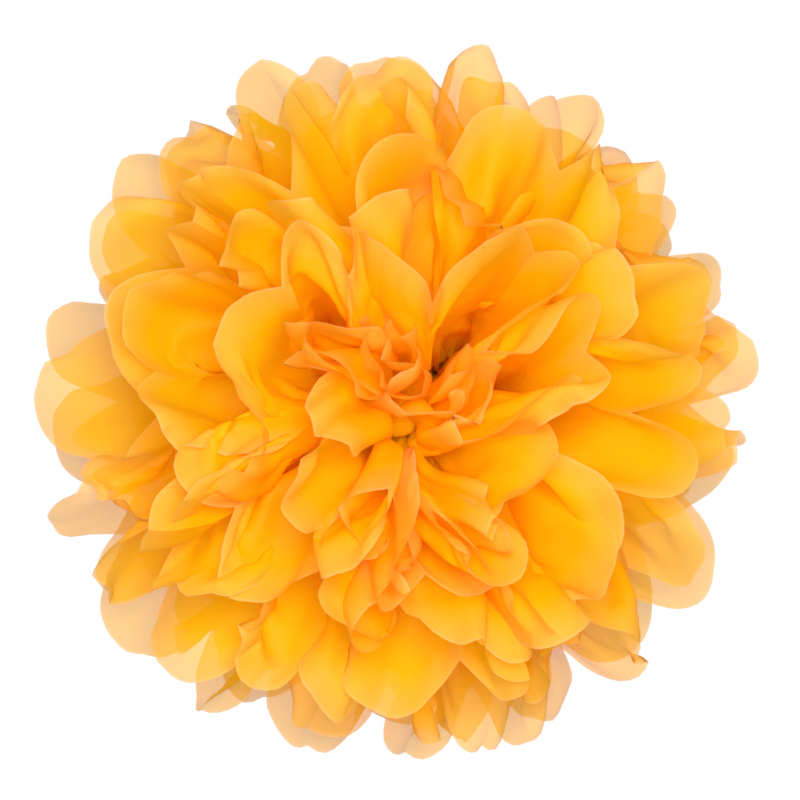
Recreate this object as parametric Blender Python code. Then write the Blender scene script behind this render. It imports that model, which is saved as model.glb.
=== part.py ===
"""Tissue paper pom pom: pleated sheets gathered by a wire tie at the middle, with their round cut ends
pulled apart into a ball. Metres, +Z up. The poles of the ball, where the sheets close up, lie on the
Y axis, and -Y is the front. Every sheet is pleated along X, and opens into a right fan and a left fan."""

import math
import random

import bmesh
import bpy
from mathutils import Vector

# Driving dimensions
SHEET_LENGTH = 0.260        # cut length of a sheet, from petal end to petal end through the tie
SHEET_WIDTH = 0.414         # cut width of a sheet, taken up by its pleats
PLEAT_COUNT = 9             # pleats across each sheet
SHEET_COUNT = 10
PAPER_THICKNESS = 0.0003
PAPER_CLEARANCE = 0.0003    # between sheets that lie on each other in the tie
WAIST_WIDTH = 0.008         # height of the bunched paper inside the tie
WIRE_DIAMETER = 0.0008
WIRE_CLEARANCE = 0.0003     # from the wire to the paper that it grips
TWIST_LENGTH = 0.016        # twisted tail of the tie
TWIST_TURNS = 2
TWIST_CLEARANCE = 0.0003    # between the two strands of the twist

# How far the paper is pulled about
STEEPEST_PLEAT = 3.0        # the most that a pleat rises for its run
DEEPEST_PLEAT = math.radians(8.3)   # the most that half a pleat's rise takes up, seen from the tie
POLE_SHARE = 0.75           # the most of the way to the pole that half a pleat's rise can take
PLEAT_RADIUS = 0.060        # from the tie to where the pleats have their full rise
SEAM_OVERLAP = math.radians(3.0)    # how far a fan reaches over the seam between the two fans
SEAM_LIFT = math.radians(3.2)       # from the seam up to one fan's side edge, and down to the other's
SEAM_PLEATS = 1.5           # pleats that this lift takes to fade away
SEAM_LIFT_RADIUS = 0.035    # from the tie to where the side edges have their full lift
SEAM_CLOSING = 0.7          # share of their distance in the tie that the two fans lose further out
STAGGER_ANGLE = math.radians(4.5)   # turn of each second sheet, so that petals overlap like tiles
CREASE_SWAY = math.radians(6.8)     # uneven spacing of the creases round the ball
CREASE_LIFT = math.radians(6.8)     # uneven height of the creases at the petals
CREASE_BEND = math.radians(46.0)    # the most that the paper at a crease bends over towards its end
POLE_BEND = math.radians(10.0)      # how far the paper next to a pole bends away from it
BEND_RADIUS = 0.070         # from the tie to where the bending over starts
SHARED_STRAY = 0.6          # part of the unevenness that a crease shares with those in the other sheets
PETAL_CUP = math.radians(6.3)       # how far a petal's middle bulges
LEAST_CRUMPLE = 0.03        # shares of its reach that a crease loses to small folds
MOST_CRUMPLE = 0.09
SEED = 64                   # picks one arrangement of all this unevenness
RELAX_RADIUS = 0.040        # from the tie to where a sheet has turned to its own direction
FIRST_SPREAD = 0.5          # share of a fan's full opening that it has as it leaves the tie
SPREAD_RADIUS = 0.060       # from the tie to where a fan is fully open
CURL_ANGLE = math.radians(7.0)      # how far the petals halfway from pole to equator lean back

PAPER_COLOUR = (1.0, 0.42, 0.03, 1.0)
WIRE_COLOUR = (0.55, 0.42, 0.18, 1.0)

# What follows from them
HALF_LENGTH = SHEET_LENGTH / 2
PLEAT_WIDTH = SHEET_WIDTH / PLEAT_COUNT
PETAL_RADIUS = PLEAT_WIDTH / 2
NOTCH_RADIUS = HALF_LENGTH - PETAL_RADIUS
SHEET_PITCH = PAPER_THICKNESS + PAPER_CLEARANCE
STACK_HALF_DEPTH = (SHEET_COUNT - 1) / 2 * SHEET_PITCH + PAPER_THICKNESS / 2
POLAR_STEP = math.pi / SHEET_COUNT
PLEAT_ANGLE = (math.pi + 2 * SEAM_OVERLAP) / PLEAT_COUNT
WIRE_RADIUS = WIRE_DIAMETER / 2
TWIST_RADIUS = WIRE_RADIUS + TWIST_CLEARANCE / 2
NECK_HALF_LENGTH = TWIST_RADIUS + WIRE_RADIUS + WIRE_CLEARANCE + PAPER_THICKNESS / 2
GRIP_RADIUS = WIRE_RADIUS + WIRE_CLEARANCE     # from the bunched paper to the middle of the wire
BUNCH_HALF_HEIGHT = WAIST_WIDTH / 2 + PAPER_THICKNESS / 2
LOOP_TOP = BUNCH_HALF_HEIGHT + GRIP_RADIUS

# Rows of points along a fan, as shares of the way from the tie to the notch between two petals.
# A row is plain where it has points on the creases only, and full where it also has pleat middles.
PLAIN_ROWS = (0.0, 0.10, 0.24, 0.44)
FULL_ROWS = (0.68, 0.84, 1.0)
PETAL_ARC_STEPS = 6         # straight sides in a petal's round end

CORNER_STEPS = 3            # straight bits of wire round each corner of the bunched paper
TWIST_STEPS_PER_TURN = 8
WIRE_BEVEL_RESOLUTION = 1


def clear_scene():
    for obj in list(bpy.data.objects):
        bpy.data.objects.remove(obj, do_unlink=True)


def make_material(name, colour, roughness, metallic=0.0):
    material = bpy.data.materials.new(name)
    material.use_nodes = True
    shader = material.node_tree.nodes["Principled BSDF"]
    shader.inputs["Base Color"].default_value = colour
    shader.inputs["Roughness"].default_value = roughness
    shader.inputs["Metallic"].default_value = metallic
    return material


def smooth_step(share):
    share = max(0.0, min(1.0, share))
    return share * share * (3 - 2 * share)


def spread_at(radius):
    """Share of its full opening that a fan has at radius from the tie."""
    return FIRST_SPREAD + (1 - FIRST_SPREAD) * smooth_step(radius / SPREAD_RADIUS)


class Crease:
    """One fold line of a fan: its place round the ball, and how far it strays as the paper gets looser."""

    def __init__(self, number, polar, turn, own, shared):
        def stray():
            return SHARED_STRAY * shared.uniform(-1, 1) + (1 - SHARED_STRAY) * own.uniform(-1, 1)

        # Close to a pole or the seam there is less room to stray
        room = min(1.0, 2 * math.sin(polar))
        from_seam = math.sin(math.pi * number / PLEAT_COUNT)
        self.azimuth = -math.pi / 2 - SEAM_OVERLAP + number * PLEAT_ANGLE
        self.sway = turn + from_seam * CREASE_SWAY * stray()
        self.lift = room * from_seam * CREASE_LIFT * stray()
        pole_share = max(0.0, abs(math.cos(polar)) - 0.75) / 0.25
        self.bend = from_seam * CREASE_BEND * (1 - pole_share) * stray() + POLE_BEND * pole_share
        self.loss = own.uniform(LEAST_CRUMPLE, MOST_CRUMPLE)
        self.fold = 1 if number % 2 else -1


class Fan:
    """One half of a sheet, from the tie to its petals. side is 1 for the right fan and -1 for the left."""

    def __init__(self, sheet, side):
        self.side = side
        self.depth = (sheet - (SHEET_COUNT - 1) / 2) * SHEET_PITCH
        self.polar = (sheet + 0.5) * POLAR_STEP
        own, shared = random.Random(SEED + 100 * sheet + side), random.Random(SEED + side)
        flip = side * (1 if sheet % 2 else -1)
        room = min(1.0, 2 * math.sin(self.polar))
        self.seam_lift = flip * SEAM_LIFT * room
        self.seam_closing = SEAM_CLOSING * room ** 2
        creases = range(PLEAT_COUNT + 1)
        self.creases = [Crease(number, self.polar, flip * STAGGER_ANGLE, own, shared) for number in creases]
        self.cups = []
        for pleat in range(PLEAT_COUNT):
            from_seam = math.sin(math.pi * (pleat + 0.5) / PLEAT_COUNT)
            self.cups.append(PETAL_CUP * room * from_seam * own.choice((-1, 1)) * own.uniform(0.4, 1))

    def polar_at(self, radius):
        """Angle from the front pole of the sheet's mean surface, turned out of the tie, curled at its end."""
        turned = math.pi / 2 + (self.polar - math.pi / 2) * smooth_step(radius / RELAX_RADIUS)
        curl = CURL_ANGLE * math.sin(2 * self.polar) * smooth_step(radius / HALF_LENGTH - 0.2)
        return turned + curl

    def pleat_half_angle(self, radius):
        """Half the rise of the pleats, as an angle at the tie, where the paper keeps its width."""
        opening = PLEAT_ANGLE * spread_at(radius)
        run = max(radius * opening * math.sin(self.polar_at(radius)), 1e-6)
        slack = math.sqrt(max(PLEAT_WIDTH ** 2 - run ** 2, 0.0))
        steepest = STEEPEST_PLEAT * smooth_step(radius / PLEAT_RADIUS)
        from_pole = min(self.polar, math.pi - self.polar)
        pole_room = POLE_SHARE * from_pole * smooth_step(radius / NOTCH_RADIUS)
        rise = min(slack, steepest * run)
        return min(rise / 2 / max(radius, 1e-6), DEEPEST_PLEAT, pole_room)

    def seam_lift_at(self, place, radius):
        """One fan's side edges rise where they lie over the other's, and the other's sink."""
        near = smooth_step(1 - place / SEAM_PLEATS)
        far = smooth_step(1 - (PLEAT_COUNT - place) / SEAM_PLEATS)
        return self.seam_lift * (near - far) * smooth_step(radius / SEAM_LIFT_RADIUS)

    def bent(self, bend, radius):
        """How far out and how far aside a strip of paper reaches, when its end bends over by bend."""
        past = max(radius - BEND_RADIUS, 0.0)
        curve = bend / (HALF_LENGTH - BEND_RADIUS)
        if abs(curve) < 1e-3:
            return radius, 0.0
        away = 1 if self.polar < math.pi / 2 else -1
        forward = radius - past + math.sin(curve * past) / curve
        return forward, away * (1 - math.cos(curve * past)) / curve

    def at(self, place, radius):
        """The point at place pleats across the fan, where whole numbers are creases, and radius from the tie."""
        pleat = min(int(place), PLEAT_COUNT - 1)
        far_share = place - pleat
        near_share = 1 - far_share
        near, far = self.creases[pleat], self.creases[pleat + 1]
        loose = smooth_step(radius / NOTCH_RADIUS)
        height = self.pleat_half_angle(min(radius, NOTCH_RADIUS))
        polar = self.polar_at(radius) + self.seam_lift_at(place, radius)
        polar += near_share * (near.lift * loose + near.fold * height)
        polar += far_share * (far.lift * loose + far.fold * height)
        polar += 4 * near_share * far_share * self.cups[pleat] * loose
        near_azimuth = near.azimuth * spread_at(radius) + near.sway * loose
        far_azimuth = far.azimuth * spread_at(radius) + far.sway * loose
        # Past the notch a petal keeps the width that it has there
        narrowing = min(1.0, NOTCH_RADIUS / max(radius, 1e-6))
        middle = (near_azimuth + far_azimuth) / 2
        azimuth = middle + (far_share - 0.5) * (far_azimuth - near_azimuth) * narrowing
        reach = radius * (1 - loose * (near_share * near.loss + far_share * far.loss))
        forward, aside = self.bent(near_share * near.bend + far_share * far.bend, reach)
        outward = forward * math.sin(polar) + aside * math.cos(polar)
        waist_height = (place / PLEAT_COUNT - 0.5) * WAIST_WIDTH
        from_middle = NECK_HALF_LENGTH * (1 - self.seam_closing * loose)
        return Vector((
            self.side * (from_middle + outward * math.cos(azimuth)),
            self.depth - forward * math.cos(polar) + aside * math.sin(polar),
            waist_height + outward * math.sin(azimuth),
        ))


def add_row(mesh, fan, places, share):
    """One row of vertices across a fan, as a dictionary from place to vertex."""
    return {place: mesh.verts.new(fan.at(place, share * NOTCH_RADIUS)) for place in places}


def fill_between(mesh, inner, outer):
    """Triangles between two rows. The outer row can have pleat middles where the inner one has none."""
    for pleat in range(PLEAT_COUNT):
        a, b = inner[pleat], inner[pleat + 1]
        c, d = outer[pleat], outer[pleat + 1]
        inner_middle, outer_middle = inner.get(pleat + 0.5), outer.get(pleat + 0.5)
        if outer_middle is None:
            faces = [(a, c, d), (a, d, b)]
        elif inner_middle is None:
            faces = [(a, c, outer_middle), (a, outer_middle, b), (b, outer_middle, d)]
        else:
            faces = [(a, c, outer_middle), (a, outer_middle, inner_middle)]
            faces += [(inner_middle, outer_middle, d), (inner_middle, d, b)]
        for face in faces:
            mesh.faces.new(face)


def add_petal(mesh, fan, row, pleat):
    """The round cut end of one pleat: a half circle as wide as the pleat."""
    arc = [row[pleat]]
    for i in range(1, PETAL_ARC_STEPS):
        angle = math.pi * i / PETAL_ARC_STEPS
        place = pleat + (1 - math.cos(angle)) / 2
        arc.append(mesh.verts.new(fan.at(place, NOTCH_RADIUS + PETAL_RADIUS * math.sin(angle))))
    arc.append(row[pleat + 1])
    for a, b in zip(arc, arc[1:]):
        mesh.faces.new((row[pleat + 0.5], a, b))


def add_fan(mesh, fan):
    """All of one fan. Returns its first row, which lies in the tie."""
    creases = list(range(PLEAT_COUNT + 1))
    full = creases + [pleat + 0.5 for pleat in range(PLEAT_COUNT)]
    rows = [add_row(mesh, fan, creases, share) for share in PLAIN_ROWS]
    rows += [add_row(mesh, fan, full, share) for share in FULL_ROWS]
    for inner, outer in zip(rows, rows[1:]):
        fill_between(mesh, inner, outer)
    for pleat in range(PLEAT_COUNT):
        add_petal(mesh, fan, rows[-1], pleat)
    return rows[0]


def make_sheet(sheet, paper):
    """A whole sheet: a right and a left fan, joined by the short bunched neck that the wire grips."""
    mesh = bmesh.new()
    right = add_fan(mesh, Fan(sheet, 1))
    left = add_fan(mesh, Fan(sheet, -1))
    fill_between(mesh, left, right)
    bmesh.ops.recalc_face_normals(mesh, faces=mesh.faces)
    name = f"sheet_{sheet + 1:02d}"
    data = bpy.data.meshes.new(name)
    mesh.to_mesh(data)
    mesh.free()
    data.materials.append(paper)
    obj = bpy.data.objects.new(name, data)
    bpy.context.scene.collection.objects.link(obj)
    wall = obj.modifiers.new("Paper", "SOLIDIFY")
    wall.thickness = PAPER_THICKNESS
    wall.offset = 0.0


def twist_strand(phase):
    """One strand of the twisted tail, from the loop upwards."""
    steps = round(TWIST_TURNS * TWIST_STEPS_PER_TURN)
    base = LOOP_TOP + WIRE_RADIUS
    points = []
    for step in range(steps + 1):
        share = step / steps
        angle = phase + 2 * math.pi * TWIST_TURNS * share
        points.append(Vector((
            TWIST_RADIUS * math.sin(angle),
            TWIST_RADIUS * math.cos(angle),
            base + TWIST_LENGTH * share,
        )))
    return points


def loop_points():
    """Once round the bunched paper, from beside the back strand of the tail to beside the other."""
    shoulder = Vector((0, 2 * TWIST_RADIUS + WIRE_RADIUS, LOOP_TOP))
    points = [shoulder]
    for turn, (across, up) in enumerate(((1, 1), (1, -1), (-1, -1), (-1, 1))):
        for step in range(CORNER_STEPS + 1):
            angle = math.pi / 2 * (turn + step / CORNER_STEPS)
            points.append(Vector((
                0,
                across * STACK_HALF_DEPTH + GRIP_RADIUS * math.sin(angle),
                up * BUNCH_HALF_HEIGHT + GRIP_RADIUS * math.cos(angle),
            )))
    points.append(Vector((0, -shoulder.y, LOOP_TOP)))
    return points


def make_tie(wire):
    """One wire: a strand of the twist, once round the waist, and the other strand."""
    route = twist_strand(0.0)[::-1] + loop_points() + twist_strand(math.pi)
    curve = bpy.data.curves.new("tie_wire", "CURVE")
    curve.dimensions = "3D"
    spline = curve.splines.new("POLY")
    spline.points.add(len(route) - 1)
    for point, place in zip(spline.points, route):
        point.co = (*place, 1.0)
    curve.bevel_depth = WIRE_RADIUS
    curve.bevel_resolution = WIRE_BEVEL_RESOLUTION
    curve.use_fill_caps = True
    curve.materials.append(wire)
    obj = bpy.data.objects.new("tie_wire", curve)
    bpy.context.scene.collection.objects.link(obj)


def build():
    clear_scene()
    paper = make_material("tissue_paper", PAPER_COLOUR, roughness=0.9)
    wire = make_material("plain_wire", WIRE_COLOUR, roughness=0.35, metallic=1.0)
    for sheet in range(SHEET_COUNT):
        make_sheet(sheet, paper)
    make_tie(wire)


build()
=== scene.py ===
import bpy
import math
import random
import numpy as np
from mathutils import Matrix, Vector


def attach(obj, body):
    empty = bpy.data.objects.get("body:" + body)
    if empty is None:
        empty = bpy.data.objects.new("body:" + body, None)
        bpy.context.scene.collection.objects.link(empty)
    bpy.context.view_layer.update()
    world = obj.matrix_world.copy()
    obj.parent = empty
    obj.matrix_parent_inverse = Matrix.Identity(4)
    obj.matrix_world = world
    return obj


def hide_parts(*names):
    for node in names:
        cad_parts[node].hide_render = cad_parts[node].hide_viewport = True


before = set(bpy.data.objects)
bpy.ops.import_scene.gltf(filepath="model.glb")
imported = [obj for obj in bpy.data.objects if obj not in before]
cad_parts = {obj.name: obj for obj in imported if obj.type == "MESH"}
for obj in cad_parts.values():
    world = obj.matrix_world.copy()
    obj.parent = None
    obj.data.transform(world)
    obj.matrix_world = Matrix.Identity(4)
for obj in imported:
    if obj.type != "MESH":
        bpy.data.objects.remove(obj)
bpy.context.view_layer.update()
print("frame loaded:", len(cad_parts), "nodes")

# Sizes of the paper, flat, and of the bunch inside the tie, in metres as in the frame
paperCut = {
    "length": 0.260,          # from petal end to petal end
    "width": 0.414,
    "pleats": 9,
    "sheets": 10,
    "sheetPitch": 0.0006,     # between sheets inside the tie
    "waistWidth": 0.008,
    "neckHalfLength": 0.0017,
    "columnsPerPleat": 10,
    "rows": 33,
    "creaseCrowding": 0.55,   # how much closer the columns stand at the creases
    "rowCrowding": 0.9,       # below 1, rows stand closer towards the petal ends
}

# How the sheets are folded open, before they are fluffed up, in degrees and metres
fanShape = {
    "turn": 4.5,              # each second sheet the other way
    "seamOverlap": 3.0,       # that a fan reaches over the seam, and more near a pole
    "leastSine": 0.35,        # so that the fans of a pole sheet don't reach over too far
    "seamLift": 3.2,          # of one fan's edge over the other's
    "seamPleats": 1.5,        # from the edge over which that lift fades
    "seamClosing": 0.9,
    "creaseSway": 6.8,        # uneven spacing of the creases round the ball
    "creaseLift": 6.8,
    "petalBend": 46.0,        # either way, at most
    "leastBend": 0.01,        # in radians per metre, so that no arc is quite straight
    "poleBend": 55.0,         # that petals near a pole bend over
    "poleCosine": 0.75,       # of the polar angle, where that bend begins
    "petalCup": 6.3,
    "leastCup": 0.4,          # share of that cup
    "sharedStray": 0.6,       # share of the unevenness that neighbouring sheets have in common
    "leastCrumple": 0.03,
    "mostCrumple": 0.09,
    "curl": 7.0,
    "curlStart": 0.2,         # share of the half length
    "steepestPleat": 5.0,
    "pleatStart": (0.001, 0.014),   # from the tie, and over how far the pleats become steep
    "deepestPleat": 22.0,     # half of a pleat's rise seen from the tie
    "poleRoom": (0.85, 4.0),  # share of the angle left to the pole that a pleat may take, and what it may add
    "relaxRadius": 0.040,
    "spreadRadius": 0.060,
    "seamRadius": 0.035,
    "bendStart": 0.070,
    "seed": 64,
}


class Maths:
    def __init__(self, tree, socket):
        self.tree, self.socket = tree, socket

    def join(self, operation, other=None, swap=False):
        node = self.tree.nodes.new("ShaderNodeMath")
        node.operation = operation
        pair = [self] if other is None else ([other, self] if swap else [self, other])
        for place, value in zip(node.inputs, pair):
            setSocket(self.tree, place, value)
        return Maths(self.tree, node.outputs[0])

    def __add__(self, other): return self.join("ADD", other)
    def __radd__(self, other): return self.join("ADD", other, True)
    def __sub__(self, other): return self.join("SUBTRACT", other)
    def __rsub__(self, other): return self.join("SUBTRACT", other, True)
    def __mul__(self, other): return self.join("MULTIPLY", other)
    def __rmul__(self, other): return self.join("MULTIPLY", other, True)
    def __truediv__(self, other): return self.join("DIVIDE", other)
    def __pow__(self, other): return self.join("POWER", other)

    def sin(self): return self.join("SINE")
    def cos(self): return self.join("COSINE")
    def abs(self): return self.join("ABSOLUTE")
    def sign(self): return self.join("SIGN")
    def floor(self): return self.join("FLOOR")
    def least(self, other): return self.join("MINIMUM", other)
    def most(self, other): return self.join("MAXIMUM", other)

    def smooth(self):          # 0 to 1 with soft ends
        share = self.most(0.0).least(1.0)
        return share * share * (3.0 - 2.0 * share)


def setSocket(tree, place, value):
    if isinstance(value, Maths):
        tree.links.new(value.socket, place)
    elif isinstance(value, bpy.types.NodeSocket):
        tree.links.new(value, place)
    elif value is not None:
        place.default_value = value


def addNode(tree, kind, settings=None, inputs=None):
    node = tree.nodes.new(kind)
    for name, value in (settings or {}).items():
        if name == "stops":
            ramp = node.color_ramp
            while len(ramp.elements) < len(value):
                ramp.elements.new(0.5)
            for stop, (position, colour) in zip(ramp.elements, value):
                stop.position, stop.color = position, colour
        else:
            setattr(node, name, value)
    for name, value in (inputs or {}).items():
        setSocket(tree, node.inputs[name], value)
    return node


def fanTree():
    tree = bpy.data.node_groups.new("pleated fan", "GeometryNodeTree")
    face = tree.interface
    face.new_socket("Geometry", in_out="OUTPUT", socket_type="NodeSocketGeometry")
    face.new_socket("Creases", in_out="INPUT", socket_type="NodeSocketGeometry")
    names = {
        "Pleats": 9, "Columns per pleat": 10, "Rows": 33, "Sheet length": 0.25, "Sheet width": 0.4,
        "Side": 1.0, "Polar angle": 0.5, "Turn": 0.0, "Seam overlap": 0.0, "Seam lift": 0.0,
        "Seam radius": 0.03, "Seam closing": 0.5, "Curl": 0.0, "Steepest pleat": 3.0, "Deepest pleat": 0.2,
        "Relax radius": 0.04, "Spread radius": 0.06, "Bend start": 0.06,
        "Neck half length": 0.0015, "Waist width": 0.008, "Depth in tie": 0.0,
    }
    for name, value in names.items():
        kind = "NodeSocketInt" if isinstance(value, int) else "NodeSocketFloat"
        face.new_socket(name, in_out="INPUT", socket_type=kind).default_value = value
    face.new_socket("Material", in_out="INPUT", socket_type="NodeSocketMaterial")
    given = tree.nodes.new("NodeGroupInput")
    one = {name: Maths(tree, given.outputs[name]) for name in names}
    pleats, perPleat, rows = one["Pleats"], one["Columns per pleat"], one["Rows"]
    pleatWidth = one["Sheet width"] / pleats
    halfLength = one["Sheet length"] / 2.0
    notch = halfLength - pleatWidth / 2.0
    columns = pleats * perPleat + 1.0
    grid = addNode(tree, "GeometryNodeMeshGrid", inputs={"Vertices X": columns, "Vertices Y": rows})
    index = Maths(tree, tree.nodes.new("GeometryNodeInputIndex").outputs[0])
    column = ((index + 0.5) / rows).floor()
    row = index - column * rows

    # Across the paper: columns stand closer together at the creases
    pleat = ((column + 0.5) / perPleat).floor().least(pleats - 1.0)
    share = (column - pleat * perPleat) / perPleat
    crowding = paperCut["creaseCrowding"]
    share = share * (1 - crowding) + (1.0 - (share * math.pi).cos()) * (crowding / 2)
    place = pleat + share
    # Along the paper: each column ends on the round cut of its petal
    reach = notch + pleatWidth * (share * (1.0 - share)).most(0.0) ** 0.5
    along = reach * (row / (rows - 1.0)) ** paperCut["rowCrowding"]

    def atCrease(name, step):
        stray = addNode(tree, "GeometryNodeInputNamedAttribute", {"data_type": "FLOAT"}, {"Name": name})
        sample = addNode(tree, "GeometryNodeSampleIndex", {"data_type": "FLOAT", "domain": "POINT"}, {
            "Geometry": given.outputs["Creases"],
            "Value": stray.outputs["Attribute"],
            "Index": pleat + step,
        })
        return Maths(tree, sample.outputs[0])

    def perCrease(name):
        return atCrease(name, 0.0) * (1.0 - share) + atCrease(name, 1.0) * share

    loose = (along / notch).smooth()
    spread = 0.5 + 0.5 * (along / one["Spread radius"]).smooth()
    opening = (math.pi + 2.0 * one["Seam overlap"]) / pleats
    sway = perCrease("sway") + one["Turn"]
    azimuth = (place * opening - one["Seam overlap"] - math.pi / 2) * spread + sway * loose

    # Out of the tie, each sheet turns to its own angle from the front pole
    polar = one["Polar angle"]
    lean = polar.cos()
    turned = (polar - math.pi / 2) * (along / one["Relax radius"]).smooth() + math.pi / 2
    curled = (along / halfLength - fanShape["curlStart"]).smooth()
    turned = turned + (2.0 * polar).sin() * one["Curl"] * curled
    fade = fanShape["seamPleats"]
    edge = (1.0 - place / fade).smooth() - (1.0 - (pleats - place) / fade).smooth()
    turned = turned + one["Seam lift"] * edge * (along / one["Seam radius"]).smooth()

    # The pleats stand as high as the paper's width asks for
    run = (along * opening * spread * turned.sin()).most(1e-6)
    slack = (pleatWidth * pleatWidth - run * run).most(0.0) ** 0.5
    start, onset = fanShape["pleatStart"]
    steepest = one["Steepest pleat"] * ((along - start) / onset).smooth()
    half = slack.least(steepest * run) / 2.0 / along.most(1e-6)
    room = math.pi / 2 - (turned - math.pi / 2).abs()
    roomShare, roomSpare = fanShape["poleRoom"]
    half = half.least(one["Deepest pleat"]).least(room * roomShare + math.radians(roomSpare))
    zigzag = 1.0 - 2.0 * ((place / 2.0 - (place / 2.0).floor()) * 2.0 - 1.0).abs()
    cup = 4.0 * share * (1.0 - share) * atCrease("cup", 0.0)
    polarAt = turned + zigzag * half + (perCrease("lift") + cup) * loose

    # Petals bend over along an arc: those near a pole away from it, the others either way
    curve = perCrease("bend") / (halfLength - one["Bend start"])
    curve = curve.sign() * curve.abs().most(fanShape["leastBend"])
    crumpled = along * (1.0 - perCrease("loss") * loose)
    past = (crumpled - one["Bend start"]).most(0.0)
    arc = curve * past
    forward = crumpled - past + arc.sin() / curve
    aside = (1.0 - arc.cos()) / curve * lean.sign()
    sinPolar, cosPolar = polarAt.sin(), polarAt.cos()
    cosAround, sinAround = azimuth.cos(), azimuth.sin()
    outwards = forward * sinPolar + aside * cosPolar
    waist = (place / pleats - 0.5) * one["Waist width"]
    fromSeam = one["Neck half length"] * (1.0 - one["Seam closing"] * loose)
    x = one["Side"] * (fromSeam + outwards * cosAround)
    y = one["Depth in tie"] - forward * cosPolar + aside * sinPolar
    z = waist + outwards * sinAround
    spot = addNode(tree, "ShaderNodeCombineXYZ", inputs={"X": x, "Y": y, "Z": z})
    last = addNode(tree, "GeometryNodeSetPosition", inputs={
        "Geometry": grid.outputs[0], "Position": spot.outputs[0],
    })
    for name, value in (("acrossPaper", place * pleatWidth), ("alongPaper", along)):
        last = addNode(tree, "GeometryNodeStoreNamedAttribute", {"data_type": "FLOAT", "domain": "POINT"}, {
            "Geometry": last.outputs[0], "Name": name, "Value": value,
        })
    real = addNode(tree, "GeometryNodeRealizeInstances", inputs={"Geometry": last.outputs[0]})
    finish = addNode(tree, "GeometryNodeSetMaterial", inputs={
        "Geometry": real.outputs[0], "Material": given.outputs["Material"],
    })
    tree.links.new(finish.outputs[0], tree.nodes.new("NodeGroupOutput").inputs[0])
    return tree


def meshFromTree(tree, values, creases):
    start = bpy.data.meshes.new("creases")
    start.vertices.add(len(creases["sway"]))
    for name, amounts in creases.items():
        start.attributes.new(name, "FLOAT", "POINT").data.foreach_set("value", amounts)
    holder = bpy.data.objects.new("holder", start)
    bpy.context.scene.collection.objects.link(holder)
    modifier = holder.modifiers.new("nodes", "NODES")
    modifier.node_group = tree
    for item in tree.interface.items_tree:
        if item.in_out == "INPUT" and item.name in values:
            modifier[item.identifier] = values[item.name]
    bpy.context.view_layer.update()
    evaluated = holder.evaluated_get(bpy.context.evaluated_depsgraph_get())
    mesh = bpy.data.meshes.new_from_object(evaluated)
    bpy.data.objects.remove(holder)
    return mesh


def readFloats(mesh, name, width=1):
    data = mesh.attributes[name].data
    values = np.zeros(len(data) * width, dtype=np.float32)
    data.foreach_get("vector" if width == 3 else "value", values)
    return values.astype(np.float64)


def smoothStep(share):
    share = np.clip(share, 0, 1)
    return share * share * (3 - 2 * share)


def strayCreases(sheet, side, polar):
    # How far each crease strays, and each pleat's cup, in radians
    own = random.Random(fanShape["seed"] + 100 * sheet + side)
    shared = random.Random(fanShape["seed"] + side)
    pleats, common = paperCut["pleats"], fanShape["sharedStray"]
    room = min(1.0, 2 * math.sin(polar))
    nearPole = max(0.0, abs(math.cos(polar)) - fanShape["poleCosine"]) / (1 - fanShape["poleCosine"])
    creases = {"sway": [], "lift": [], "bend": [], "loss": [], "cup": []}
    for number in range(pleats + 1):
        fromSeam = math.sin(math.pi * number / pleats)
        strays = [common * shared.uniform(-1, 1) + (1 - common) * own.uniform(-1, 1) for _ in range(3)]
        bend = math.radians(fanShape["petalBend"]) * (1 - nearPole) * fromSeam * strays[2]
        creases["sway"].append(math.radians(fanShape["creaseSway"]) * fromSeam * strays[0])
        creases["lift"].append(math.radians(fanShape["creaseLift"]) * fromSeam * room * strays[1])
        creases["bend"].append(bend + math.radians(fanShape["poleBend"]) * nearPole)
        creases["loss"].append(own.uniform(fanShape["leastCrumple"], fanShape["mostCrumple"]))
    for pleat in range(pleats):
        fromSeam = math.sin(math.pi * (pleat + 0.5) / pleats)
        amount = own.choice((-1, 1)) * own.uniform(fanShape["leastCup"], 1)
        creases["cup"].append(math.radians(fanShape["petalCup"]) * room * fromSeam * amount)
    creases["cup"].append(0.0)
    return creases


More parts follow.
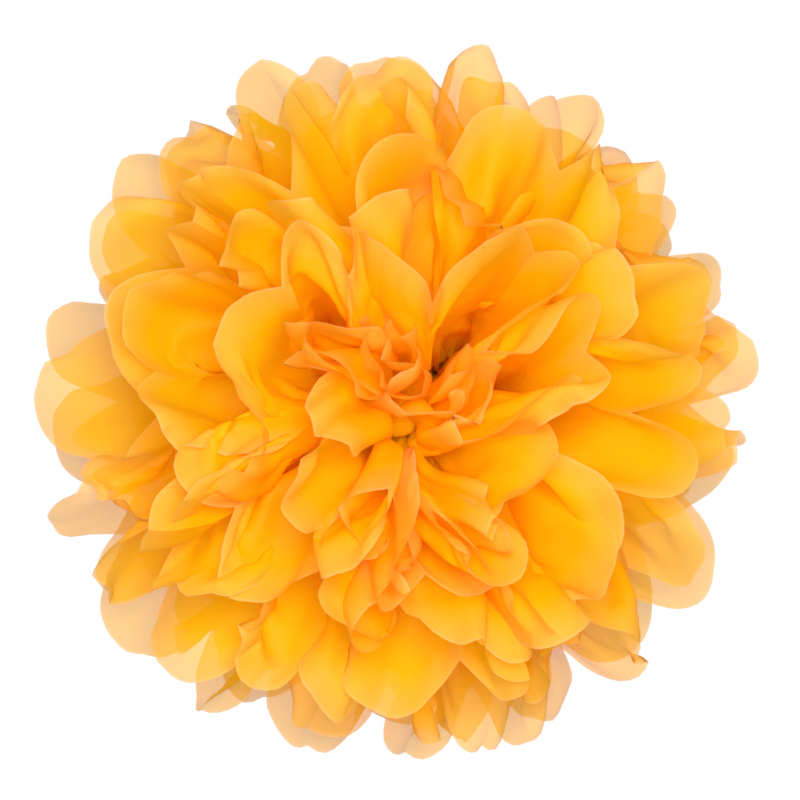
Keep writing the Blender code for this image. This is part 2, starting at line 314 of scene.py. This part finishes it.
def foldFans(tree):
    rows, across = paperCut["rows"], paperCut["pleats"] * paperCut["columnsPerPleat"] + 1
    fans, flat = [], None
    for sheet in range(paperCut["sheets"]):
        polar = (sheet + 0.5) * math.pi / paperCut["sheets"]
        flip = 1 if sheet % 2 else -1
        room = min(1.0, 2 * math.sin(polar))
        overlap = math.radians(fanShape["seamOverlap"]) / max(math.sin(polar), fanShape["leastSine"])
        for side in (1, -1):
            mesh = meshFromTree(tree, {
                "Pleats": paperCut["pleats"],
                "Columns per pleat": paperCut["columnsPerPleat"],
                "Rows": rows,
                "Sheet length": paperCut["length"],
                "Sheet width": paperCut["width"],
                "Side": float(side),
                "Polar angle": polar,
                "Turn": math.radians(fanShape["turn"]) * flip * side,
                "Seam overlap": overlap,
                "Seam lift": math.radians(fanShape["seamLift"]) * flip * side * room,
                "Seam radius": fanShape["seamRadius"],
                "Seam closing": fanShape["seamClosing"],
                "Curl": math.radians(fanShape["curl"]),
                "Steepest pleat": fanShape["steepestPleat"],
                "Deepest pleat": math.radians(fanShape["deepestPleat"]),
                "Relax radius": fanShape["relaxRadius"],
                "Spread radius": fanShape["spreadRadius"],
                "Bend start": fanShape["bendStart"],
                "Neck half length": paperCut["neckHalfLength"],
                "Waist width": paperCut["waistWidth"],
                "Depth in tie": (sheet - (paperCut["sheets"] - 1) / 2) * paperCut["sheetPitch"],
            }, strayCreases(sheet, side, polar))
            points = readFloats(mesh, "position", 3).reshape(across, rows, 3).transpose(1, 0, 2)
            fans.append(points)
            if flat is None:
                wide = readFloats(mesh, "acrossPaper").reshape(across, rows).T
                long = readFloats(mesh, "alongPaper").reshape(across, rows).T
                flat = np.stack([wide, long], -1)
            bpy.data.meshes.remove(mesh)
    return np.array(fans), flat


# How the paper is fluffed: soft uneven pulls on each sheet, and then its own stiffness
fluffing = {
    "pulls": ((0.120, 0.010), (0.055, 0.012), (0.024, 0.0035)),   # size of a bump, and how far it is pulled
    "waves": 10,              # that each pull is made of
    "waveSizes": (0.7, 1.4),  # beside the size of the bump
    "waveStrength": 0.25,
    "cup": 0.020,             # how far petals are cupped, at most
    "tilt": 0.018,
    "calmRim": 0.6,           # how much less cupped and tilted the petals of the middle sheets are
    "foldedPetals": 0.5,      # share of the petals with a fold down the middle
    "steps": 60,
    "apartEvery": 3,          # steps between two rounds of pushing layers apart
    "drawInEvery": 10,
    "lastRounds": 4,
    "lastSteps": 4,
    "lengthStrength": 0.9,    # share of a wrong length that one step puts right
    "slantStrength": 0.35,
    "acrossStiffness": 0.14,
    "creaseStiffness": 0.004,
    "alongStiffness": 0.24,
    "longStiffness": 0.15,    # share of that over three rows
    "hold": 0.020,            # how hard the paper is held where it was pulled to
    "firstRoom": 0.0070,      # between layers of paper out in the ball, early on and at the end
    "lastRoom": 0.0040,
    "apartStrength": 0.35,
    "ownPaper": (3, 4),       # rows and columns beside a point that don't count as other paper
    "apartFrom": 0.045,       # from the tie, as all that follows
    "heldTo": 0.008,
    "freeFrom": (0.006, 0.030),   # where a change starts, and how long it is
    "fullFrom": (0.008, 0.016),   # where the bunched paper comes out to its full width
    "pullFrom": (0.020, 0.090),
    "cupFrom": (0.030, 0.070),
    "seed": 40,
}


def unevenPull(points, size, seed):
    # Waves of about one size that run and pull every way
    dice = np.random.default_rng(seed)
    pull = np.zeros(points.shape)
    for _ in range(fluffing["waves"]):
        way = dice.normal(size=3)
        way /= np.linalg.norm(way) * size * dice.uniform(*fluffing["waveSizes"])
        wave = np.sin(points @ way * 2 * math.pi + dice.uniform(0, 2 * math.pi))
        pull += wave[..., None] * dice.normal(size=3)
    return pull * fluffing["waveStrength"]


def ramp(distance, name):
    # 0 to 1 with soft ends, from where the named change starts and over its length
    start, length = fluffing[name]
    return smoothStep((distance - start) / length)


def paperPairs(rows, across):
    # Neighbours whose distance the paper keeps, in groups that share no point
    every = slice(None)
    groups = []
    for odd in (0, 1):
        count = (rows - odd) // 2 * 2
        near, far = slice(odd, odd + count, 2), slice(odd + 1, odd + count, 2)
        groups.append(("along", (every, near, every), (every, far, every)))
        groups.append(("slant", (every, near, slice(0, across - 1)), (every, far, slice(1, across))))
        groups.append(("slant", (every, near, slice(1, across)), (every, far, slice(0, across - 1))))
        count = (across - odd) // 2 * 2
        near, far = slice(odd, odd + count, 2), slice(odd + 1, odd + count, 2)
        groups.append(("across", (every, every, near), (every, every, far)))
    return groups


def keepLengths(points, freedom, groups):
    for kind, near, far, rest in groups:
        gap = points[far] - points[near]
        length = np.sqrt((gap * gap).sum(-1)) + 1e-9
        nearFree, farFree = freedom[near[1:]], freedom[far[1:]]
        strength = fluffing["slantStrength" if kind == "slant" else "lengthStrength"]
        change = (length - rest) / length / (nearFree + farFree + 1e-9) * strength
        gap *= change[..., None]
        points[near] += gap * nearFree[..., None]
        points[far] -= gap * farFree[..., None]


def drawIn(points, freedom, long):
    # Gives every strip of paper its own length again, from the tie outwards
    gaps = np.diff(points, axis=1)
    length = np.sqrt((gaps * gaps).sum(-1)) + 1e-9
    change = 1 + (np.diff(long, axis=0) / length - 1) * freedom[1:]
    points[:, 1:] = points[:, :1] + np.cumsum(gaps * change[..., None], axis=1)


def flatten(points, freedom, axis, reach, share, stiffness):
    # Moves each point towards the line between the two that lie reach away on either side
    count = points.shape[axis]
    every = (slice(None),) * axis
    low, mid, high = [(*every, slice(start, count - 2 * reach + start)) for start in (0, reach, 2 * reach)]
    bend = points[low] * (1 - share) + points[high] * share - points[mid]
    bend *= stiffness * 0.5
    free = freedom[None, :, :, None]
    points[mid] += bend * free[mid]
    points[low] -= bend * 0.5 * free[low]
    points[high] -= bend * 0.5 * free[high]


def nearbySpots(spots, room):
    # Pairs of spots in one cell or in two that touch; each cell is as wide as the room and has a number
    span = 1000                   # more cells than fit across the ball
    cell = np.floor(spots / room).astype(np.int64) + span // 5
    key = (cell[:, 0] * span + cell[:, 1]) * span + cell[:, 2]
    order = np.argsort(key, kind="stable")
    ordered = key[order]
    cells, starts, counts = np.unique(ordered, return_index=True, return_counts=True)
    ways = (-1, 0, 1)
    steps = [(x * span + y) * span + z for x in ways for y in ways for z in ways]
    for step in steps:
        if step < 0:          # such a pair is found from its other cell
            continue
        found = np.minimum(np.searchsorted(cells, ordered + step), len(cells) - 1)
        first = np.nonzero(cells[found] == ordered + step)[0]
        many = counts[found[first]]
        if many.sum() == 0:
            continue
        a = np.repeat(first, many)
        number = np.arange(len(a)) - np.repeat(np.cumsum(many) - many, many)
        b = np.repeat(starts[found[first]], many) + number
        if step == 0:
            a, b = a[b > a], b[b > a]
        yield order[a], order[b]


def keepApart(points, freedom, rowOf, columnOf, room):
    # Pushes paper that has come too close to other paper away from it
    fans = len(points)
    spots = points[:, rowOf, columnOf].reshape(-1, 3)
    fan = np.repeat(np.arange(fans), len(rowOf))
    row, column = np.tile(rowOf, fans), np.tile(columnOf, fans)
    nearRows, nearColumns = fluffing["ownPaper"]
    push, touches = np.zeros_like(spots), np.zeros(len(spots))
    for a, b in nearbySpots(spots, room):
        beside = (abs(row[a] - row[b]) <= nearRows) & (abs(column[a] - column[b]) <= nearColumns)
        gap = spots[b] - spots[a]
        length = np.sqrt((gap * gap).sum(-1)) + 1e-9
        close = ~(beside & (fan[a] == fan[b])) & (length < room)
        a, b = a[close], b[close]
        share = (room - length[close]) / length[close] * fluffing["apartStrength"]
        gap = gap[close] * share[:, None]
        for axis in range(3):
            push[:, axis] -= np.bincount(a, gap[:, axis], len(spots))
            push[:, axis] += np.bincount(b, gap[:, axis], len(spots))
        touches += np.bincount(a, minlength=len(spots)) + np.bincount(b, minlength=len(spots))
    push *= (np.tile(freedom[rowOf, columnOf], fans) / np.maximum(touches, 1))[:, None]
    points[:, rowOf, columnOf] += push.reshape(fans, len(rowOf), 3)


def restLengths(fans, flat):
    # Paper keeps the length it was cut to, but across the bunch by the tie the length it is folded to
    rows, across = flat.shape[:2]
    full = ramp(flat[..., 1], "fullFrom")
    groups = []
    for kind, near, far in paperPairs(rows, across):
        cut = np.sqrt(((flat[far[1:]] - flat[near[1:]]) ** 2).sum(-1))
        folded = np.sqrt(((fans[far] - fans[near]) ** 2).sum(-1))
        share = np.minimum(full[near[1:]], full[far[1:]]) if kind != "along" else np.ones(cut.shape)
        groups.append((kind, near, far, folded + (cut - folded) * share))
    return groups


def pullFans(fans, place, long):
    # Cups, tilts and folds petals and pulls the paper unevenly; also says which columns are folded
    pleats = paperCut["pleats"]
    dice = np.random.default_rng(fluffing["seed"])
    pulled = fans.copy()
    folded = np.zeros((len(fans), len(place)), bool)
    petal = np.minimum(place.astype(int), pleats - 1)
    share = place - petal
    outer, loose = ramp(long, "cupFrom"), ramp(long, "pullFrom")[..., None]
    for fan in range(len(fans)):
        calm = 1 - fluffing["calmRim"] * math.sin((fan // 2 + 0.5) * math.pi / paperCut["sheets"]) ** 4
        cup = dice.uniform(-1, 1, pleats)[petal] * fluffing["cup"] * calm
        tilt = dice.uniform(-1, 1, pleats)[petal] * fluffing["tilt"] * calm
        sharp = (dice.random(pleats) < fluffing["foldedPetals"])[petal]
        folded[fan] = sharp & (abs(share - 0.5) < 0.01)
        bulge = np.where(sharp, 1 - abs(2 * share - 1), 4 * share * (1 - share))
        bulge = bulge * cup + (2 * share - 1) * tilt
        normal = np.cross(np.gradient(fans[fan], axis=1), np.gradient(fans[fan], axis=0))
        normal /= np.linalg.norm(normal, axis=-1, keepdims=True) + 1e-12
        pulled[fan] += normal * (bulge * outer)[..., None]
        for number, (size, distance) in enumerate(fluffing["pulls"]):
            seed = fluffing["seed"] + 200 * number + fan // 2
            pulled[fan] += unevenPull(fans[fan], size, seed) * distance * loose
    return pulled, folded


def fluffUp(fans, flat):
    wide, long = flat[..., 0], flat[..., 1]
    freedom = np.where(long < fluffing["heldTo"], 0.0, ramp(long, "freeFrom"))
    groups = restLengths(fans, flat)
    place = wide[0] / (paperCut["width"] / paperCut["pleats"])
    pulled, folded = pullFans(fans, place, long)
    steps = np.diff(place)
    share = (steps[:-1] / (steps[:-1] + steps[1:]))[None, None, :, None]
    atFold = folded | (abs(place - np.round(place)) < 1e-4)
    stiff = np.where(atFold, fluffing["creaseStiffness"], fluffing["acrossStiffness"])
    stiff = stiff[:, None, 1:-1, None]
    rowOf, columnOf = np.nonzero(long > fluffing["apartFrom"])
    points = pulled.copy()
    for step in range(fluffing["steps"]):
        flatten(points, freedom, 2, 1, share, stiff)
        flatten(points, freedom, 1, 1, 0.5, fluffing["alongStiffness"])
        flatten(points, freedom, 1, 3, 0.5, fluffing["alongStiffness"] * fluffing["longStiffness"])
        points += (pulled - points) * (fluffing["hold"] * freedom[None, :, :, None])
        if (step + 1) % fluffing["apartEvery"] == 0:
            late = step / fluffing["steps"]
            room = fluffing["firstRoom"] * (1 - late) + fluffing["lastRoom"] * late
            keepApart(points, freedom, rowOf, columnOf, room)
        keepLengths(points, freedom, groups if step % 2 else groups[::-1])
        if (step + 1) % fluffing["drawInEvery"] == 0:
            drawIn(points, freedom, long)
    # Last, only lengths and room count
    for _ in range(fluffing["lastRounds"]):
        for step in range(fluffing["lastSteps"]):
            keepLengths(points, freedom, groups if step % 2 else groups[::-1])
        keepApart(points, freedom, rowOf, columnOf, fluffing["lastRoom"])
        drawIn(points, freedom, long)
    return points, atFold & (place > 0) & (place < paperCut["pleats"])


# The paper itself
tissuePaper = {
    "orange": (1.0, 0.60, 0.0),       # what it reflects
    "petalEndPaintedLight": (1.0, 0.57, 0.09),    # painted light: a little paler out at the petals' ends, standing in for the light they catch
    # painted highlight along the cut edges
    "cutEdgePaintedHighlight": (1.0, 0.64, 0.22),
    # how far in from the edges the painted light reaches
    "paintedLightWidth": 0.016,
    "paintedHighlightShare": 0.09,                # of that width, taken by the painted highlight on the cut edge
    "glow": (1.0, 0.585, 0.005),      # what it lets through
    "glowShare": 0.6,
    "clearShare": 0.25,               # seen straight through, between the fibres
    "roughness": 0.55,
    "gloss": 0.15,
    "fibreDepth": 0.00006,
    "fibreSize": 0.0011,
}


def paperMaterial():
    material = bpy.data.materials.new("tissue paper")
    material.use_nodes = True
    tree = material.node_tree
    tree.nodes.clear()
    spot = addNode(tree, "ShaderNodeUVMap", {"uv_map": "flatSheet"}).outputs[0]
    # Painted light: the paper is painted paler towards the petals' ends, with a painted highlight along the
    # cut edges
    edge = addNode(tree, "ShaderNodeAttribute", {"attribute_name": "toEdge"})
    colour = addNode(tree, "ShaderNodeValToRGB", {"stops": [
        (0.0, (*tissuePaper["cutEdgePaintedHighlight"], 1.0)),
        (tissuePaper["paintedHighlightShare"], (*tissuePaper["petalEndPaintedLight"], 1.0)),
        (1.0, (*tissuePaper["orange"], 1.0)),
    ]})
    setSocket(tree, colour.inputs["Fac"], Maths(tree, edge.outputs["Fac"]) / tissuePaper["paintedLightWidth"])
    fibres = addNode(tree, "ShaderNodeTexNoise", inputs={
        "Vector": spot, "Scale": 1 / tissuePaper["fibreSize"], "Detail": 1.0,
    })
    relief = addNode(tree, "ShaderNodeBump", inputs={
        "Strength": 1.0, "Distance": tissuePaper["fibreDepth"], "Height": fibres.outputs["Fac"],
    })
    paper = addNode(tree, "ShaderNodeBsdfPrincipled", inputs={
        "Base Color": colour.outputs[0], "Roughness": tissuePaper["roughness"],
        "Specular IOR Level": tissuePaper["gloss"], "Normal": relief.outputs[0],
    })
    glow = addNode(tree, "ShaderNodeBsdfTranslucent", inputs={"Color": (*tissuePaper["glow"], 1.0)})
    lit = addNode(tree, "ShaderNodeMixShader", inputs={
        0: tissuePaper["glowShare"], 1: paper.outputs[0], 2: glow.outputs[0],
    })
    clear = addNode(tree, "ShaderNodeBsdfTransparent")
    seen = addNode(tree, "ShaderNodeMixShader", inputs={
        0: tissuePaper["clearShare"], 1: lit.outputs[0], 2: clear.outputs[0],
    })
    addNode(tree, "ShaderNodeOutputMaterial", inputs={"Surface": seen.outputs[0]})
    return material


def halfway(values, axis, folds=None):
    # Adds a point midway between neighbours, on a curve through all of them that is smooth but for the folds
    values = np.moveaxis(values, axis, -1)
    before = np.concatenate([values[..., :1], values[..., :-2]], -1)
    after = np.concatenate([values[..., 2:], values[..., -1:]], -1)
    near, far = values[..., :-1], values[..., 1:]
    starts, ends = np.zeros(near.shape[-1], bool), np.zeros(near.shape[-1], bool)
    starts[0] = ends[-1] = True
    if folds is not None:
        starts, ends = starts | folds[..., :-1], ends | folds[..., 1:]
    early = np.where(starts, 3 * near - 3 * far + after, before)
    late = np.where(ends, 3 * far - 3 * near + before, after)
    joined = np.zeros((*values.shape[:-1], 2 * values.shape[-1] - 1))
    joined[..., ::2] = values
    joined[..., 1::2] = (9 * (near + far) - early - late) / 16
    return np.moveaxis(joined, -1, axis)


def finer(fans, flat, folds):
    # Twice as many points each way; every point that the paper already has stays
    atCrease = np.arange(flat.shape[1]) % paperCut["columnsPerPleat"] == 0
    points = halfway(halfway(fans, 2, folds[:, None, None, :]), 1)
    paper = halfway(halfway(flat, 1, atCrease), 0)
    between = np.zeros((len(folds), 2 * folds.shape[1] - 1), bool)
    between[:, ::2] = folds
    return points, paper, between


def sheetMesh(name, right, left, flat, folds, material):
    rows, across = flat.shape[:2]
    index = np.arange(2 * rows * across).reshape(2, rows, across)
    faces = []
    for fan in (0, 1):
        corners = [index[fan, :-1, :-1], index[fan, :-1, 1:], index[fan, 1:, 1:], index[fan, 1:, :-1]]
        ordered = corners if fan == 0 else corners[::-1]
        faces.append(np.stack([corner.ravel() for corner in ordered], -1))
    faces.append(np.stack([index[1, 0, :-1], index[1, 0, 1:], index[0, 0, 1:], index[0, 0, :-1]], -1))
    faces = np.concatenate(faces)
    mesh = bpy.data.meshes.new(name)
    mesh.vertices.add(2 * rows * across)
    mesh.vertices.foreach_set("co", np.concatenate([right, left]).astype(np.float32).ravel())
    mesh.loops.add(faces.size)
    mesh.loops.foreach_set("vertex_index", faces.astype(np.int32).ravel())
    mesh.polygons.add(len(faces))
    mesh.polygons.foreach_set("loop_start", np.arange(0, faces.size, 4, dtype=np.int32))
    mesh.update(calc_edges=True)
    # The edges that run along a fold look sharp
    ends = np.zeros(2 * len(mesh.edges), dtype=np.int32)
    mesh.edges.foreach_get("vertices", ends)
    ends = ends.reshape(-1, 2)
    fan, column = ends // (rows * across), ends % across
    alongFold = (column[:, 0] == column[:, 1]) & (fan[:, 0] == fan[:, 1])
    alongFold &= folds[fan[:, 0], column[:, 0]]
    # The UV map is the flat sheet, in metres from its middle
    flatSpots = np.concatenate([flat, flat * (1, -1)]).reshape(-1, 2)
    layer = mesh.uv_layers.new(name="flatSheet")
    layer.data.foreach_set("uv", flatSpots[faces.ravel()].astype(np.float32).ravel())
    # Distance to the nearest cut edge, which the material follows for its painted highlight and paler petal
    # ends
    toEnd = flat[-1:, :, 1] - flat[..., 1]
    toEdge = np.minimum(toEnd, np.minimum(flat[..., 0], paperCut["width"] - flat[..., 0]))
    edge = mesh.attributes.new("toEdge", "FLOAT", "POINT")
    edge.data.foreach_set("value", np.concatenate([toEdge, toEdge]).astype(np.float32).ravel())
    mesh.shade_smooth()
    sharp = mesh.attributes.new("sharp_edge", "BOOLEAN", "EDGE")
    sharp.data.foreach_set("value", alongFold)
    mesh.materials.append(material)
    piece = bpy.data.objects.new(name, mesh)
    bpy.context.scene.collection.objects.link(piece)
    return piece


def addSheets():
    fans, flat = foldFans(fanTree())
    print("fans folded")
    fans, folds = fluffUp(fans, flat)
    fans, flat, folds = finer(fans, flat, folds)
    print("paper fluffed up")
    tissue = paperMaterial()
    for sheet in range(paperCut["sheets"]):
        pair = slice(2 * sheet, 2 * sheet + 2)
        piece = sheetMesh(f"tissue_{sheet + 1:02d}", *fans[pair], flat, folds[pair], tissue)
        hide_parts(f"sheet_{sheet + 1:02d}")
        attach(piece, "root")


addSheets()
print("sheets made")


# The wire tie: once round the bunched paper, with both ends twisted into a tail
tieWire = {
    "diameter": 0.0008,
    "clearance": 0.0003,          # to the paper that it grips
    "paperThickness": 0.0003,
    "tailLength": 0.016,
    "tailTurns": 2,
    "tailGap": 0.0003,            # between the two strands
    "stepsPerTurn": 24,
    "cornerSteps": 8,
    "sides": 12,
    "metal": (0.62, 0.50, 0.30),
    "drawnRoughness": (0.22, 0.42),
    "marksPerMetre": 1800.0,
}


def wireRoute():
    radius = tieWire["diameter"] / 2
    strand = radius + tieWire["tailGap"] / 2
    grip = radius + tieWire["clearance"]
    halfDepth = (paperCut["sheets"] - 1) / 2 * paperCut["sheetPitch"] + tieWire["paperThickness"] / 2
    halfHeight = (paperCut["waistWidth"] + tieWire["paperThickness"]) / 2
    top = halfHeight + grip
    steps = tieWire["tailTurns"] * tieWire["stepsPerTurn"]
    tails = []
    for phase in (0.0, math.pi):
        angle = phase + np.linspace(0, 2 * math.pi * tieWire["tailTurns"], steps + 1)
        rise = top + radius + np.linspace(0, tieWire["tailLength"], steps + 1)
        tails.append(np.stack([strand * np.sin(angle), strand * np.cos(angle), rise], -1))
    shoulder = 2 * strand + radius
    loop = [(0, shoulder, top)]
    for turn, (aside, up) in enumerate(((1, 1), (1, -1), (-1, -1), (-1, 1))):
        for step in range(tieWire["cornerSteps"] + 1):
            angle = math.pi / 2 * (turn + step / tieWire["cornerSteps"])
            depth, height = grip * math.sin(angle), grip * math.cos(angle)
            loop.append((0, aside * halfDepth + depth, up * halfHeight + height))
    loop.append((0, -shoulder, top))
    return np.concatenate([tails[0][::-1], loop, tails[1]])


def wireMaterial():
    material = bpy.data.materials.new("drawn wire")
    material.use_nodes = True
    tree = material.node_tree
    spot = addNode(tree, "ShaderNodeTexCoord").outputs["Object"]
    marks = addNode(tree, "ShaderNodeTexNoise", inputs={"Vector": spot, "Scale": tieWire["marksPerMetre"]})
    low, high = tieWire["drawnRoughness"]
    shader = tree.nodes["Principled BSDF"]
    shader.inputs["Base Color"].default_value = (*tieWire["metal"], 1.0)
    shader.inputs["Metallic"].default_value = 1.0
    setSocket(tree, shader.inputs["Roughness"], Maths(tree, marks.outputs["Fac"]) * (high - low) + low)
    return material


def addWire():
    curve = bpy.data.curves.new("tie", "CURVE")
    curve.dimensions = "3D"
    route = wireRoute()
    spline = curve.splines.new("POLY")
    spline.points.add(len(route) - 1)
    spots = np.pad(route, ((0, 0), (0, 1)), constant_values=1)
    spline.points.foreach_set("co", spots.astype(np.float32).ravel())
    curve.bevel_depth = tieWire["diameter"] / 2
    curve.bevel_resolution = tieWire["sides"] // 4 - 1
    curve.use_fill_caps = True
    curve.materials.append(wireMaterial())
    holder = bpy.data.objects.new("holder", curve)
    bpy.context.scene.collection.objects.link(holder)
    bpy.context.view_layer.update()
    evaluated = holder.evaluated_get(bpy.context.evaluated_depsgraph_get())
    mesh = bpy.data.meshes.new_from_object(evaluated)
    mesh.shade_smooth()
    bpy.data.objects.remove(holder)
    wire = bpy.data.objects.new("wire_tie", mesh)
    bpy.context.scene.collection.objects.link(wire)
    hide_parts("tie_wire")
    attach(wire, "root")


addWire()
print("wire made")


# Camera at the photograph's angle, light and backdrop
view = {
    "elevation": 9.5,
    "distance": 2.4,
    "ballInFrame": 712 / 800,     # width of the ball beside the frame's
    "ballWidth": 0.244,
    "sensor": 36.0,               # in millimetres, as the lens is
    "farthest": 20.0,
    "floorDrop": 0.9,
    "floorSize": 8.0,
    "floorGrey": 0.85,
}

light = {
    "around": 0.56,               # plain white light from all sides
    "softboxAt": (0.06, -1.05, 0.28),
    "softboxSize": 0.5,
    "softboxPower": 17.5,
    "bounces": 14,                # light goes through and off many petals
    "throughPaper": 6,            # sheets that are seen through one after another
}


def addCamera():
    camera = bpy.data.objects.new("camera", bpy.data.cameras.new("camera"))
    bpy.context.scene.collection.objects.link(camera)
    tilt = math.radians(view["elevation"])
    away = Vector((0, -math.cos(tilt), math.sin(tilt)))
    camera.location = away * view["distance"]
    camera.rotation_euler = (-away).to_track_quat("-Z", "Y").to_euler()
    camera.data.sensor_width = view["sensor"]
    camera.data.lens = view["sensor"] * view["distance"] * view["ballInFrame"] / view["ballWidth"]
    camera.data.clip_end = view["farthest"]
    bpy.context.scene.camera = camera


def addLight():
    world = bpy.data.worlds.new("studio")
    world.use_nodes = True
    tree = world.node_tree
    path = addNode(tree, "ShaderNodeLightPath")
    strength = Maths(tree, path.outputs["Is Camera Ray"]) * (1 - light["around"]) + light["around"]
    setSocket(tree, tree.nodes["Background"].inputs["Strength"], strength)
    tree.nodes["Background"].inputs["Color"].default_value = (1, 1, 1, 1)
    bpy.context.scene.world = world
    lamp = bpy.data.objects.new("front softbox", bpy.data.lights.new("front softbox", "AREA"))
    bpy.context.scene.collection.objects.link(lamp)
    lamp.data.shape = "DISK"
    lamp.data.size = light["softboxSize"]
    lamp.data.energy = light["softboxPower"]
    lamp.visible_camera = False
    lamp.location = light["softboxAt"]
    lamp.rotation_euler = Vector(light["softboxAt"]).to_track_quat("Z", "Y").to_euler()


def addFloor():
    mesh = bpy.data.meshes.new("floor")
    far, low = view["floorSize"] / 2, -view["floorDrop"]
    corners = [(-far, -far, low), (far, -far, low), (far, far, low), (-far, far, low)]
    mesh.from_pydata(corners, [], [(0, 1, 2, 3)])
    floor = bpy.data.objects.new("floor", mesh)
    bpy.context.scene.collection.objects.link(floor)
    material = bpy.data.materials.new("pale floor")
    material.use_nodes = True
    tree = material.node_tree
    paint = tree.nodes["Principled BSDF"]
    paint.inputs["Base Color"].default_value = (*[view["floorGrey"]] * 3, 1)
    white = addNode(tree, "ShaderNodeEmission", inputs={"Color": (1, 1, 1, 1), "Strength": 1.0})
    path = addNode(tree, "ShaderNodeLightPath")
    shown = addNode(tree, "ShaderNodeMixShader", inputs={
        0: path.outputs["Is Camera Ray"], 1: paint.outputs[0], 2: white.outputs[0],
    })
    tree.links.new(shown.outputs[0], tree.nodes["Material Output"].inputs["Surface"])
    mesh.materials.append(material)


addCamera()
addLight()
addFloor()
scene = bpy.context.scene
scene.view_settings.view_transform = "Standard"
scene.cycles.max_bounces = light["bounces"]
scene.cycles.diffuse_bounces = light["bounces"]
scene.cycles.transmission_bounces = light["bounces"]
scene.cycles.transparent_max_bounces = light["throughPaper"]
print("camera, light and floor placed")
